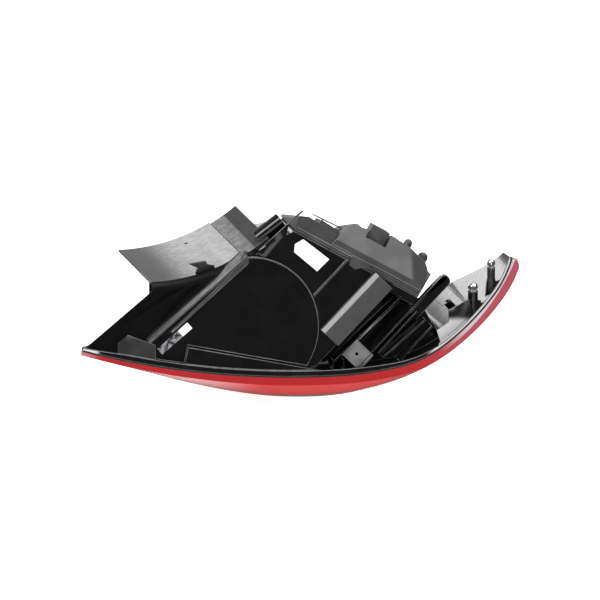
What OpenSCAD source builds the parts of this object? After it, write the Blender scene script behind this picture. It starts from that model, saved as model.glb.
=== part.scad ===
// Rear lamp cluster of a car, lens down and housing up.
// Drawn from the seam between lens and housing: x runs along the lamp, y across it, z away from the lens.
// The seam is a chain of tangent arcs in x and z, and every flange, rim and cover follows it.

/* [Seam] */
// Lowest point of the seam, along the lamp
low_x = 29.6; // [26:0.2:33]
// Lowest point of the seam, height
low_z = 16.9; // [15:0.1:19]
// Slope of the seam at the left tip, degrees
tip_slope = -16.7; // [-18:0.1:-15]
// Radius of the long flat arc
arc_long = 875; // [850:5:900]
// Radius of the arc under the bulb chamber
arc_mid = 367; // [355:1:380]
// Radius of the bend up to the side of the car
arc_bend = 118; // [114:1:122]
// Radius of the arc along the side of the car
arc_side = 247; // [240:1:255]
// Radius of the arc at the right tip
arc_tip = 103; // [98:1:108]
// Depth of the lamp from near edge to far edge
lamp_w = 173; // [170:1:176]
// Length over which the left end narrows to its tip
taper_left = 114; // [105:1:120]
// Length over which the right end narrows to its tip
taper_right = 111; // [105:1:116]
// Roundness of both narrowing ends
taper_power = 1.6; // [1.5:0.1:1.8]
// Width left at each tip
tip_w = 8; // [7:0.5:10]
// Spacing of the cross-sections along the seam
pitch = 10; // [9:1:14]

/* [Lens] */
// Wall of the lens
lens_wall = 2.6; // [2.2:0.1:3]
// Height of the lens skirt at the left tip
skirt_tip = 3.8; // [3.6:0.1:4.5]
// Height of the lens skirt along the rest
skirt_h = 7.8; // [7:0.1:9]
// Length over which the skirt grows to its height
skirt_run = 200; // [180:5:220]
// Height of the lens skirt along the side of the car
skirt_side = 9.4; // [8:0.1:10]
// Crown of the lens across its depth
crown_h = 24; // [18:1:26]
// Place along the lamp where the lens bulges most
crown_x = 26; // [10:1:40]
// How far the bulge reaches to the left
crown_left = 180; // [160:5:200]
// How far the bulge reaches to the right
crown_right = 118; // [100:2:130]
// Steps across the crown
crown_steps = 12; // [10:2:16]
// Black adhesive bead between lens and housing
seal_h = 1.2; // [0.8:0.1:1.6]
// Clear window of the lens, reach to the left of the seam's lowest point
window_left = 37; // [29:1:45]
// Clear window of the lens, reach to the right of the seam's lowest point
window_right = 47; // [35:1:55]

/* [Housing] */
// Wall of the housing moulding
wall = 2.6; // [2:0.1:3]
// Height of the flange in the middle of the lamp
flange_h = 7; // [6.4:0.1:8]
// Height of the flange on the right arm and at the left tip
flange_thin = 4; // [3.8:0.1:4.6]
// Front of the round reflector chamber
disc_y = 8; // [7:0.5:9]
// Radius of the round reflector chamber
disc_r = 73; // [70:1:75]
// Front of the chamber wall beside it
front_y = 11; // [10:0.5:12]
// Front of the chamber wall behind the diagonal ribs
deep_y = 24; // [22:0.5:25]
// Distance from the chamber's back to the lamp's far edge
back_gap = 23; // [18:1:28]
// Slope of the roof behind the bulb carrier, degrees
roof_slope = 32; // [28:1:35]
// Angle of the diagonal ribs, degrees
rib_angle = 45.5; // [44:0.5:47]
// Thickness of a rib
rib_t = 1.8; // [1.4:0.1:2.2]
// Side of the square pad with the locating hole
pad_size = 21; // [19:0.5:22]
// Thickness of that pad
pad_t = 2.4; // [2:0.1:3]
// Radius of the locating hole in the pad
pad_hole_r = 1.6; // [1.2:0.1:2]

/* [Side cover] */
// Thickness of the cover moulding
cover_t = 2.4; // [2:0.1:3]
// Radius of the curve of the wing
wing_r = 192; // [180:2:210]
// Radius of the fold between wing and cheek
fold_r = 8; // [6:0.5:10]
// Radius of the screw hole in the wing
wing_hole_r = 2.2; // [1.8:0.1:2.6]

/* [Bulb carrier] */
// Tilt of the bulb carrier, degrees
carrier_tilt = 30; // [29:0.5:31]
// Length of the carrier seat
carrier_l = 146; // [142:1:148]
// Width of the carrier
carrier_w = 63; // [60:1:64]
// Wall of the carrier
carrier_t = 2.4; // [2:0.1:2.8]
// Height of the hump over the carrier
hump_h = 43; // [40:0.5:44]
// Radius of a bulb socket bore
socket_r = 7.8; // [7.7:0.1:8.2]
// Wall of a bulb socket
socket_t = 2.2; // [1.8:0.1:2.6]
// Thickness of the foam gasket under the carrier
gasket_t = 2; // [1.5:0.1:2.5]

/* [Bulbs and reflector] */
// Radius of the bulb glass
glass_r = 12.5; // [11.5:0.5:13]
// Wall of the bulb glass
glass_t = 0.8; // [0.6:0.1:1]
// Radius of the bulb base
base_r = 7.5; // [7:0.1:7.6]
// Radius of a reflector bowl at the lens
bowl_r = 31; // [28:0.5:31.5]
// Wall of the reflector
reflector_t = 1.8; // [1.6:0.1:2]

/* [Studs] */
// Radius of the larger stud head
stud_big_r = 5; // [4.6:0.1:5.4]
// Radius of the smaller stud head
stud_small_r = 4; // [3.8:0.1:4.4]
// Height of a stud above its boss
stud_h = 10; // [9:0.5:11]

/* [Hidden] */

$fn = 48;
clear = 0.2;
back_y = lamp_w - back_gap;
far_off = 400;

// The larger stud's head is the frame's origin.
studs = [[179, 9, 95.2, stud_big_r], [198, 11, 117.9, stud_small_r]];
groove_z = 2.4;
head_z = 4;
head_band = 3;
module placed() {
    translate(-[studs[0][0], studs[0][1], studs[0][2] + clear + head_z + head_band / 2]) children();
}

// The seam: a station is [x, z, slope, distance from the left tip].
tip_x = low_x + arc_long * sin(tip_slope);
tip_z = low_z + arc_long * (1 - cos(tip_slope));
low_s = arc_len(arc_long, -tip_slope);
seam_arcs = [[arc_long, 17.2], [arc_mid, 10], [arc_bend, 25.6], [arc_side, 17], [arc_tip, 21.8]];
function arc_end(p, h, r, a) = [p[0] + r * (sin(h + a) - sin(h)), p[1] + r * (cos(h) - cos(h + a))];
function arc_len(r, a) = r * a * PI / 180;
function seam_at(s, p, h, i, s0) =
    let (r = seam_arcs[i][0], a = seam_arcs[i][1], l = arc_len(r, a))
    (s <= s0 + l || i == len(seam_arcs) - 1)
        ? let (t = (s - s0) / r * 180 / PI, q = arc_end(p, h, r, t)) [q[0], q[1], h + t, s]
        : seam_at(s, arc_end(p, h, r, a), h + a, i + 1, s0 + l);
function seam(s) = seam_at(s, [tip_x, tip_z], tip_slope, 0, 0);
function total(v, i = 0) = i == len(v) ? 0 : v[i] + total(v, i + 1);
seam_l = total([for (a = seam_arcs) arc_len(a[0], a[1])]);
even = ceil(seam_l / pitch);
end_round = 8;
stations = [for (i = [0:even - 1]) seam(seam_l * i / even),
    for (e = [end_round, end_round / 2, 0]) seam(seam_l - e)];
steps = len(stations) - 1;
function lift(st, d) = [st[0] - d * sin(st[2]), st[1] + d * cos(st[2])];
function clamp01(t) = max(0, min(1, t));
function leaf(s) = 1 - pow(1 - clamp01(s), taper_power);
function width_at(s) = max(tip_w, lamp_w * min(leaf(s / taper_left), leaf((seam_l - s) / taper_right)));

// The flange is tall along the body and thin at the left tip and along the right arm.
tip_run = 46;
thin_from = low_s + 35;
thin_to = low_s + 125;
function rise(s) = flange_h + (flange_thin - flange_h)
    * (clamp01((s - thin_from) / (thin_to - thin_from)) + clamp01(1 - s / tip_run));
function reverse(v) = [for (i = [len(v) - 1:-1:0]) v[i]];

// A slice between two heights above the seam, each a height at the flange's top plus an offset.
function band(low, high) = concat(
    [for (st = stations) lift(st, low[0] * rise(st[3]) + low[1])],
    reverse([for (st = stations) lift(st, high[0] * rise(st[3]) + high[1])]));
function inside(s, m) = max(m, min(seam_l - m, s));
function plan(edge) = let (v = [for (st = stations) seam(inside(st[3], edge * 1.6))]) concat(
    [for (st = v) [st[0], edge]],
    reverse([for (st = v) [st[0], max(tip_w * 0.6, width_at(st[3]) - edge)]]));

// Moves every edge of a polygon inwards, for walls of one thickness.
function unit(v) = v / norm(v);
function left_of(v) = [-v[1], v[0]];
function inset(pts, d) = [for (i = [0:len(pts) - 1])
    let (n = len(pts), p = pts[i])
    let (a = left_of(unit(p - pts[(i + n - 1) % n])), b = left_of(unit(pts[(i + 1) % n] - p)))
    p + d * (a + b) / (1 + a * b)];

// Extrudes an outline drawn in x and z from one y to another.
module across(y0, y1) {
    translate([0, y1, 0]) rotate([90, 0, 0]) linear_extrude(height = y1 - y0) children();
}

module seam_layer(low, high, edge) {
    intersection() {
        across(-1, lamp_w + 1) polygon(band(low, high));
        translate([0, 0, -50]) linear_extrude(height = far_off) polygon(plan(edge));
    }
}

// Everything on the housing side of the seam, from a height above it.
module above_seam(low, y0, y1) {
    across(y0, y1) polygon(concat(
        [for (st = stations) lift(st, low[0] * rise(st[3]) + low[1])],
        [[far_off, far_off], [-far_off, far_off], [-far_off, tip_z]]));
}

// Sits on the seam at a place, with z pointing away from the lens.
module on_seam(s, y, d) {
    st = seam(s);
    p = lift(st, d);
    translate([p[0], y, p[1]]) rotate([0, -st[2], 0]) children();
}

// The lens: rings of points across the lamp, one at each station.
side_from = low_s + 75;
side_to = low_s + 165;
function skirt(s) = (skirt_tip + (skirt_h - skirt_tip) * clamp01(s / skirt_run)
    + (skirt_side - skirt_h) * clamp01((s - side_from) / (side_to - side_from)))
    * (1 - 0.5 * pow(1 - clamp01((seam_l - s) / end_round), 2));
function bulge(st) = crown_h * width_at(st[3]) / lamp_w
    * exp(-pow((st[0] - crown_x) / (st[0] < crown_x ? crown_left : crown_right), 2));
function crown(t) = 1 - pow(abs(2 * t - 1), 3);
ring_n = crown_steps + 2;
function ring(st, w, t) = let (y1 = w - t, span = w - 2 * t, d = skirt(st[3]) - t)
    concat([[t, 0]],
        [for (j = [0:crown_steps])
            let (y = t + span * (1 - cos(180 * j / crown_steps)) / 2)
            [y, -d - bulge(st) * crown(y / w)]],
        [[y1, 0]]);
function ring_points(st, w, t) = [for (q = ring(st, w, t)) let (p = lift(st, q[1])) [p[0], q[0], p[1]]];
lens_points = concat(
    [for (st = stations) each ring_points(st, width_at(st[3]), 0)],
    [for (st = stations) let (s = inside(st[3], lens_wall))
        each ring_points(seam(s), width_at(s), lens_wall)]);
function outer_id(i, j) = i * (ring_n + 1) + j;
function inner_id(i, j) = (steps + 1) * (ring_n + 1) + i * (ring_n + 1) + j;

// The clear window is a block of the lens's own cells.
win_i0 = round((low_s - window_left) / seam_l * even);
win_i1 = round((low_s + window_right) / seam_l * even);
win_j0 = 4;
win_j1 = 7;
function in_window(i, j) = i >= win_i0 && i < win_i1 && j >= win_j0 && j < win_j1;
function outer_quad(i, j) = [outer_id(i, j), outer_id(i + 1, j), outer_id(i + 1, j + 1), outer_id(i, j + 1)];
function inner_quad(i, j) = [inner_id(i, j), inner_id(i, j + 1), inner_id(i + 1, j + 1), inner_id(i + 1, j)];
function halves(q) = [[q[0], q[1], q[2]], [q[0], q[2], q[3]]];
function window_walls() = [for (q = window_quads()) each halves(q)];
function window_quads() = concat(
    [for (i = [win_i0:win_i1 - 1]) each [
        [inner_id(i + 1, win_j0), inner_id(i, win_j0), outer_id(i, win_j0), outer_id(i + 1, win_j0)],
        [inner_id(i, win_j1), inner_id(i + 1, win_j1), outer_id(i + 1, win_j1), outer_id(i, win_j1)]]],
    [for (j = [win_j0:win_j1 - 1]) each [
        [inner_id(win_i0, j), inner_id(win_i0, j + 1), outer_id(win_i0, j + 1), outer_id(win_i0, j)],
        [inner_id(win_i1, j + 1), inner_id(win_i1, j), outer_id(win_i1, j), outer_id(win_i1, j + 1)]]]);
lens_faces = concat(
    [for (i = [0:steps - 1], j = [0:ring_n - 1]) if (!in_window(i, j)) each
        [outer_quad(i, j), inner_quad(i, j)]],
    [for (i = [0:steps - 1]) each [
        [outer_id(i, 0), inner_id(i, 0), inner_id(i + 1, 0), outer_id(i + 1, 0)],
        [inner_id(i, ring_n), outer_id(i, ring_n), outer_id(i + 1, ring_n), inner_id(i + 1, ring_n)]]],
    window_walls(),
    [[for (j = [0:ring_n]) outer_id(0, j)],
     [for (j = [ring_n:-1:0]) inner_id(0, j)],
     [outer_id(0, 0), outer_id(0, ring_n), inner_id(0, ring_n), inner_id(0, 0)],
     [for (j = [ring_n:-1:0]) outer_id(steps, j)],
     [for (j = [0:ring_n]) inner_id(steps, j)],
     [inner_id(steps, 0), inner_id(steps, ring_n), outer_id(steps, ring_n), outer_id(steps, 0)]]);
window_faces = concat(
    [for (i = [win_i0:win_i1 - 1], j = [win_j0:win_j1 - 1]) each [outer_quad(i, j), inner_quad(i, j)]],
    [for (f = window_walls()) reverse(f)]);

// The bulb chamber's side outline, from the floor round to the left.
chamber_floor = -40;
seat_x = 60;
seat_z = 128.4;
seat_y = 43.5;
collar_h = 9;
function seat_point(l) = [seat_x + l * cos(carrier_tilt), seat_z - l * sin(carrier_tilt)];
strip_foot = [-157, 64];
strip_top = [-57, 148];
shoulder = [-42, 143.5];
flank = [140, 64];
flank_foot = [151, 46];
chamber_outline = [
    [strip_foot[0], chamber_floor], [flank_foot[0], chamber_floor], flank_foot, flank,
    seat_point(carrier_l / 2 + 1), seat_point(-carrier_l / 2 - 1), shoulder, strip_top, strip_foot];
disc_x = -52;
disc_z = 68;
ridge_v = -5;

// The diagonal ribs have a frame of their own: x up the rib, y across it, z into the lamp.
module rib_frame() {
    rotate([0, -rib_angle, 0]) rotate([-90, 0, 0]) children();
}

// The space of the bulb carrier, which nothing of the housing reaches into.
module carrier_room() {
    carrier_frame() translate([-hl - 3.5, -hw - 0.6, -gasket_t])
        cube([carrier_l + 5, carrier_w + 2, far_off]);
}

module rib_bar(u0, u1, v0, v1, y0, y1) {
    rib_frame() translate([u0, v0, y0]) cube([u1 - u0, v1 - v0, y1 - y0]);
}

module roof_cut(d) {
    translate([seat_x, seat_y + carrier_w / 2 + 1, seat_z])
        rotate([0, carrier_tilt, 0]) rotate([-roof_slope, 0, 0])
        translate([-far_off, 0, -d]) cube([2 * far_off, far_off, far_off]);
}

// The chamber is shallow at its foot, where the lamp narrows, and deep from under the wing onwards.
foot_depth = 84;
notch_x = -119;
notch_y = foot_depth + 20;
module far_corner(d) {
    translate([d, -d, -far_off]) linear_extrude(height = 2 * far_off) polygon([
        [-far_off, foot_depth], [strip_foot[0], foot_depth], [notch_x, notch_y], [notch_x, far_off],
        [-far_off, far_off]]);
}

module chamber(d) {
    difference() {
        union() {
            across(front_y + d, back_y - d) polygon(inset(chamber_outline, d));
            across(disc_y + d, back_y - d) intersection() {
                polygon(inset(chamber_outline, d));
                union() {
                    translate([disc_x, disc_z]) circle(r = disc_r - d, $fn = 96);
                    translate([-far_off, -far_off]) square([far_off + disc_x, 2 * far_off]);
                }
            }
        }
        rib_frame() translate([-far_off, ridge_v - d, -1]) cube([2 * far_off, far_off, deep_y + 1 + d]);
        roof_cut(d);
        far_corner(d);
        wing_room(d);
    }
}

// The strip is a pair of ribs along the chamber's upper left edge.
strip_angle = atan2(strip_top[1] - strip_foot[1], strip_top[0] - strip_foot[0]);
strip_l = norm(strip_top - strip_foot);
strip_front = 3;
function strip_at(x) = strip_foot + (x - strip_foot[0]) * [1, tan(strip_angle)];
module strip_bar(v0, v1, l0, l1, y0, y1) {
    strip_frame() translate([l0, y0, -v1]) cube([l1 - l0, y1 - y0, v1 - v0]);
}

// The side cover's wing is an arc that starts level; the housing's shelf carries on along it.
cheek_y = 4;
cheek_tip = [tip_x + 3, 55.7];
cheek_low = 30;
wing_tip = [-150, 119.6];
wing_hub = wing_tip + [0, wing_r];
function wing_angle(x) = asin((x - wing_hub[0]) / wing_r);
function wing_point(x, d) = wing_hub + (wing_r + d) * [sin(wing_angle(x)), -cos(wing_angle(x))];
wing_hole_x = -87.3;
wing_hole_y = lamp_w - 33;
shelf_x = -30.8;
shelf_far = lamp_w - 1;
step_down = 1.2;

// Sweeps a section, drawn as [depth below the wing, y], round the wing's arc from one x to another.
module wing_sweep(x0, x1) {
    translate([wing_hub[0], 0, wing_hub[1]]) rotate([90, 0, 0]) mirror([0, 0, 1])
        rotate([0, 0, wing_angle(x0) - 90]) rotate_extrude(angle = wing_angle(x1) - wing_angle(x0), $fn = 240)
        translate([wing_r, 0]) children();
}

// The room of the wing behind the strip: the chamber's top follows the wing's underside.
wing_y = front_y + 2;
module wing_room(d) {
    translate([wing_hub[0], wing_y - d, wing_hub[1]]) rotate([-90, 0, 0])
        cylinder(r = wing_r + cover_t + clear + d, h = far_off, $fn = 240);
}

// Stud bosses stand on the right arm near its near edge.
module stud_boss(s) {
    translate([s[0], s[1], s[2] - 45]) {
        cylinder(r = s[3] * 0.56, h = 45);
        for (a = [0, 90]) rotate([0, 0, a])
            translate([0, rib_t / 2, 0]) rotate([90, 0, 0]) linear_extrude(height = rib_t)
            polygon([[-s[3] * 1.9, 0], [s[3] * 1.9, 0], [s[3] * 1.2, 32], [s[3], 36], [s[3], 45],
                [-s[3], 45], [-s[3], 36], [-s[3] * 1.2, 32]]);
    }
}

screw_spots = [[52, 40], [low_s - 19, lamp_w - 12], [low_s + 157, 62]];
module screw_places() {
    for (p = screw_spots) on_seam(p[0], p[1], 0) children();
}
screw_r = 1.5;
screw_head_r = 3.4;
screw_boss_r = 4;
boss_h = 8;

module housing() {
    color([0.06, 0.06, 0.065]) placed() difference() {
        union() {
            seam_layer([0, seal_h], [1, 0], 0.4);
            intersection() {
                chamber(0);
                above_seam([1, -wall], 0, lamp_w);
            }
            intersection() {
                union() {
                    near_side();
                    left_panel();
                    cheek_tab();
                    for (s = studs) stud_boss(s);
                    right_arm();
                    screw_places() cylinder(r = screw_boss_r, h = flange_h + boss_h);
                    vent_seat();
                }
                above_seam([1, -0.5], -1, lamp_w + 1);
            }
            latch_tongue();
            top_left_wall();
            shelf();
            carrier_frame() translate([-hl, -hw, -gasket_t - collar_h])
                cube([carrier_l, carrier_w, collar_h]);
        }
        chamber(wall);
        carrier_room();
        carrier_frame() translate([-hl + wall, -hw + wall, -gasket_t - collar_h - 3])
            cube([carrier_l - 2 * wall, carrier_w - 2 * wall, collar_h + 6]);
        seam_layer([0, -1], [1, -wall], wall + 0.4);
        screw_places() translate([0, 0, -3]) cylinder(r = screw_r + 0.1, h = flange_h + boss_h);
        for (s = studs) translate([s[0], s[1], s[2] - 9]) cylinder(r = s[3] * 0.4 + 0.1, h = 20);
        pad_place() translate([0, 0, -5]) cylinder(r = pad_hole_r, h = 20);
    }
}

// Near side: wall band above the flange, diagonal ridge, fins and pad.
band_y = 3;
band_left = [-113, 54.4];
band_right = [24, 24.6];
band_slope = atan2(band_right[1] - band_left[1], band_right[0] - band_left[0]);
band_l = norm(band_right - band_left);
ridge_y = 5.5;
ridge_u0 = 62;
ridge_u1 = 141;
ridge_w = 22.6;
facet_w = 4.8;
facet_d = 3.8;
ridge_tilt = 2.5;
fold_v = -58.4;
fold_u0 = 82;
fold_u1 = 133;
fin_y = 7;
pad_u = 58.4;
pad_v = 4.6;
pad_y = 4;
module pad_place() {
    rib_frame() translate([pad_u + pad_size / 2, pad_v + pad_size / 2, pad_y]) children();
}

// A bar between two points of the rib frame, each [u, v of its upper side], with one thickness.
module slanted_bar(a, b, t, y0, y1) {
    rib_frame() translate([0, 0, y0]) linear_extrude(height = y1 - y0)
        polygon([a, a + [0, t], b + [0, t], b]);
}

// The band's top edge is chamfered, so that it shows from the near side.
module near_band() {
    translate([band_left[0], 0, band_left[1]]) rotate([0, -band_slope, 0]) rotate([90, 0, 90])
        linear_extrude(height = band_l)
        polygon([[band_y, -40], [band_y, -1.4], [band_y + 4, 0], [front_y + 1, 0], [front_y + 1, -40]]);
}

module ridge() {
    left = ridge_v - ridge_w;
    rib_frame() translate([ridge_u0, 0, 0]) rotate([90, 0, 90]) linear_extrude(height = ridge_u1 - ridge_u0)
        polygon([[left, ridge_y + facet_d], [left + facet_w, ridge_y], [ridge_v, ridge_y - ridge_tilt],
            [ridge_v, deep_y + 1], [ridge_v - wall, deep_y + 1], [ridge_v - wall, front_y + 1],
            [left, front_y + 1]]);
}

module near_side() {
    near_band();
    ridge();
    rib_bar(fold_u0, fold_u1, fold_v, fold_v + rib_t, front_y - 1.4, front_y + 1);
    slanted_bar([47, 3.6], [ridge_u1, 8.4], 2.6, fin_y, deep_y + 1);
    rib_bar(pad_u, ridge_u1, 25, 25 + rib_t, fin_y, deep_y + 1);
    rib_bar(pad_u, pad_u + pad_size, pad_v + pad_size + 0.6, pad_v + pad_size + 3.4, pad_y - 0.5, deep_y + 1);
    rib_bar(84, ridge_u1, 31.5, 31.5 + rib_t, fin_y + 2, deep_y + 1);
    slanted_bar([84, 38], [ridge_u1, 43.5], rib_t, fin_y + 1, deep_y + 1);
    rib_bar(90, ridge_u1, 52.8, 52.8 + rib_t, fin_y, deep_y + 1);
    pad_place() translate([-pad_size / 2, -pad_size / 2, 0]) cube([pad_size, pad_size, pad_t]);
    for (v = [pad_v + 1, pad_v + pad_size - rib_t - 1])
        rib_bar(pad_u, pad_u + pad_size, v, v + rib_t, pad_y + pad_t - 0.5, deep_y + 1);
    for (x = [34, 44.5]) translate([x, 1.5, 10]) cube([1.2, deep_y, 24]);
}

// The strip: a flat bar with a bevelled upper side, and a second bar that closes in on it towards the top.
module strip_frame() {
    translate([strip_foot[0], 0, strip_foot[1]]) rotate([0, -strip_angle, 0]) children();
}

module strip() {
    strip_frame() rotate([90, 0, 90]) linear_extrude(height = strip_l)
        polygon([[strip_front, -7.6], [strip_front, -5.4], [strip_front + 5, 0], [front_y + 1, 0],
            [front_y + 1, -7.6]]);
    strip_frame() translate([0, front_y + 1, 0]) rotate([90, 0, 0]) linear_extrude(height = front_y - 3.5)
        polygon([[24, -13.4], [24, -15], [strip_l - 3, -13], [strip_l + 1, -5.4], [strip_l - 30, -8.6]]);
}

// A sheet behind the side cover, with the strip on its near edge and two gussets at the far side.
module left_panel() {
    difference() {
        across(front_y, lamp_w)
            polygon([strip_foot, strip_foot + [3.6, -1], strip_top + [2, -2.6], strip_top]);
        far_corner(0);
        wing_room(0);
    }
    strip();
    difference() {
        for (y = [back_y + 4, lamp_w - rib_t]) across(y, y + rib_t)
            polygon([[notch_x, 30], [-20, 30], [shoulder[0] + 8, shoulder[1] - 40], strip_top + [0, -2],
                strip_at(notch_x)]);
        wing_room(0);
    }
}

// The shelf steps down from the wing and follows the same arc.
module shelf() {
    wing_sweep(strip_top[0] + 0.4, shelf_x) translate([step_down, front_y])
        square([wall, shelf_far - front_y]);
    across(front_y, wing_y) polygon([shoulder + [0, -6], shoulder,
        wing_point(strip_top[0] + 14, step_down + 1), wing_point(strip_top[0] + 1, step_down + 1),
        strip_top + [0, -3]]);
    across(front_y, back_y) polygon([shoulder + [0, -6], shoulder + [0, 5.2], shoulder + [-7, 1.3],
        strip_top + [2.4, -6], strip_top + [2.4, -12]]);
}

// A small upright wall on the flange, in front of the cheek.
module cheek_tab() {
    across(1.2, cheek_y - 0.4) polygon([[-186, 40], [-147, 40], [-147, 57.2], [-175.6, 68.9], [-186, 61.2]]);
}

// The thin wall and the round lug left of the bulb carrier.
spike = [6.6, 185.4];
lug_foot = [-37.6, 154.4];
lug_head = [-12.5, 172.7];
lug_r = 9;
lug_y = 30;
module top_left_wall() {
    across(front_y, front_y + wall) polygon([shoulder + [0, -2], [-40, 147.4], [4.6, 186.2], spike,
        [-9, 172.4], [-12, 160]]);
    translate([lug_foot[0], lug_y, lug_foot[1]])
        rotate([0, 90 - atan2(lug_head[1] - lug_foot[1], lug_head[0] - lug_foot[0]), 0])
        cylinder(r = lug_r, h = norm(lug_head - lug_foot));
    across(lug_y - 2, lug_y + 2) polygon([shoulder + [0, -2], lug_foot, lug_head, [-12, 158]]);
}

tongue_u = 188;
tongue_v0 = 28;
tongue_v1 = 40;
module latch_tongue() {
    rib_frame() {
        translate([ridge_u1 - 6, tongue_v0, 17]) cube([tongue_u - ridge_u1, tongue_v1 - tongue_v0, 8]);
        translate([tongue_u - 6, (tongue_v0 + tongue_v1) / 2, 17])
            cylinder(r = (tongue_v1 - tongue_v0) / 2, h = 8);
    }
}

// Gusset and bar at the foot of the larger stud, and low cross ribs further up the right arm.
module right_arm() {
    across(7, 7 + rib_t) polygon([[154, 78.4], [174.5, 88.8], [187, 87], [187, 82], [171.4, 68.5],
        [169.4, 65.5], [145.9, 45], [141.8, 57.5], [154, 66]]);
    for (s = [low_s + 131, low_s + 169]) on_seam(s, 6, 0)
        cube([rib_t, width_at(s) - 12, flange_thin + 5]);
}

vent_x = -20;
vent_z = 84;
vent_r = 7;
vent_seat_h = 4;
vent_brim = 3;
vent_cap_h = 10;
module vent_seat() {
    across(back_y - 1, back_y + vent_seat_h) translate([vent_x, vent_z]) circle(r = vent_r + 2.4);
}

module vent_cap() {
    color([0.1, 0.1, 0.1]) placed() {
        across(back_y + vent_seat_h, back_y + vent_seat_h + vent_brim) translate([vent_x, vent_z])
            circle(r = vent_r + 1.5);
        across(back_y + vent_seat_h + vent_brim, back_y + vent_seat_h + vent_cap_h)
            translate([vent_x, vent_z]) circle(r = vent_r);
    }
}

module outer_lens() {
    color([0.75, 0.05, 0.08]) placed() polyhedron(points = lens_points, faces = lens_faces, convexity = 6);
}

module lens_window() {
    color([0.95, 0.9, 0.88]) placed() polyhedron(points = lens_points, faces = window_faces, convexity = 4);
}

module lens_seal() {
    color([0.03, 0.03, 0.03]) placed() difference() {
        seam_layer([0, 0], [0, seal_h], 0.4);
        seam_layer([0, -1], [0, seal_h + 1], lens_wall);
    }
}

// Section of the cover from the cheek over the fold to the far edge: [depth below the wing, y].
module cover_section() {
    intersection() {
        translate([fold_r, cheek_y + fold_r]) difference() {
            circle(r = fold_r);
            circle(r = fold_r - cover_t);
        }
        translate([0, cheek_y]) square(fold_r);
    }
    translate([0, cheek_y + fold_r]) square([cover_t, lamp_w - cheek_y - fold_r]);
}

// What lies on the strip's own side of the cover's near edge, with a little room.
module strip_side() {
    across(-1, wing_y + clear) polygon([
        [strip_foot[0] - clear, -far_off], [strip_foot[0] - clear, strip_foot[1] + clear],
        strip_top + [0, clear * 1.4], strip_top + [far_off, far_off * tan(strip_angle)],
        [far_off, -far_off]]);
}

module side_cover() {
    color([0.3, 0.3, 0.31]) placed() difference() {
        union() {
            difference() {
                wing_sweep(wing_tip[0], strip_top[0]) cover_section();
                strip_side();
            }
            difference() {
                intersection() {
                    across(cheek_y, cheek_y + cover_t) polygon(concat(
                        [[cheek_tip[0], cheek_low], [strip_foot[0] + 4, cheek_low], strip_foot, strip_top],
                        [for (i = [6:-1:0])
                            wing_point(wing_tip[0] + (strip_top[0] - wing_tip[0]) * i / 6, fold_r)],
                        [cheek_tip]));
                    above_seam([1, clear], 0, lamp_w);
                }
                strip_side();
            }
        }
        translate([wing_hub[0], wing_hole_y, wing_hub[1]]) rotate([0, -wing_angle(wing_hole_x), 0])
            translate([0, 0, -wing_r - 20]) cylinder(r = wing_hole_r, h = 40);
    }
}

// A barbed clip that stands on the wing near the strip.
clip_y = 13;
module cover_clip() {
    color([0.04, 0.04, 0.04]) placed() across(clip_y, clip_y + 4) polygon([
        wing_point(-103.5, -clear), wing_point(-84.5, -clear), [-84.5, 133.2], [-91.7, 134.6],
        [-93.2, 138.2], [-110.6, 135.9], [-101.4, 131.4]]);
}

// Bulb carrier in its own frame: x down its slope, z away from the lens.
module carrier_frame() {
    translate([seat_x, seat_y, seat_z]) rotate([0, carrier_tilt, 0]) translate([0, 0, gasket_t]) children();
}

module lengthwise(y0, y1) {
    translate([0, y1, 0]) rotate([90, 0, 0]) linear_extrude(height = y1 - y0) children();
}

hl = carrier_l / 2;
hw = carrier_w / 2;
lid_low = 3;
rim_outline = [
    [-hl, 0], [hl, 0], [hl + 1, 11], [hl - 15, 10.5], [-hl + 7, 18], [-hl - 1, 15], [-hl - 3, 12]];
hump_from = -hl + 39;
hump_outline = [
    [hump_from, 0], [hl - 1, 0], [hl + 1.5, 25], [hl - 2.5, 26], [hl - 9, 33], [hl - 29, hump_h - 4],
    [hl - 49, hump_h - 2], [hl - 57, hump_h - 2], [hl - 70, hump_h - 5], [hump_from + 23, hump_h - 9],
    [hump_from + 15.5, hump_h - 8], [hump_from + 12, hump_h - 10], [hump_from + 7, 23.7]];
tab_t = 1.6;
tab_out = seat_y - hw - front_y + clear;
hump_far = 13;
hump_base = 11;
hump_lean = 16;
rim_lean = 11;
bulbs = [-hl + 37, hl - 41];
bulb_y = 16.5;
deck_z = 5;
deck_holes = [-hl + 18, bulbs[0] + 26, bulbs[1] - 27, hl - 15];
socket_top = 14;
socket_low = -6;

// An outline extruded across the carrier and leaned back from its near edge, above a height.
module leaned(outline, base, lean, far, d, low) {
    intersection() {
        translate([0, -hw, base]) rotate([-lean, 0, 0]) translate([0, hw, -base])
            lengthwise(-hw + d, far - d) polygon(inset(outline, d));
        translate([-far_off, -hw + d, low]) cube([2 * far_off, carrier_w - 2 * d, far_off]);
    }
}

module rim(d) {
    leaned(rim_outline, 0, rim_lean, hw + 12, d, 0);
    translate([-hl + d, -hw + d, 0]) cube([carrier_l - 2 * d, carrier_w - 2 * d, lid_low - d]);
}

module hump(d) {
    leaned(hump_outline, hump_base, hump_lean, hump_far, d, d > 0 ? 0 : deck_z);
}

// Two round-headed pegs on the hump: [place along it, height of the head's centre, radius].
knobs = [[hl - 30, 39.5, 4.4], [hl - 9.5, 34, 5.2]];
knob_y = -9;
knob_foot = 22;

strap_from = -hl + 21;
strap_to = -hl + 42.2;
strap_end = 11;
strap_rise = 4.8;
strap_seat_z = 18.2;

conn_x = 8;
conn_y = -16;
conn_l = 20;
conn_w = 14;
conn_floor = 26;
module connector_recess() {
    translate([conn_x - 12, -hw - 1, conn_floor]) cube([24, hw + 1 + conn_y + conn_w / 2 + 2, 40]);
}

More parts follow.
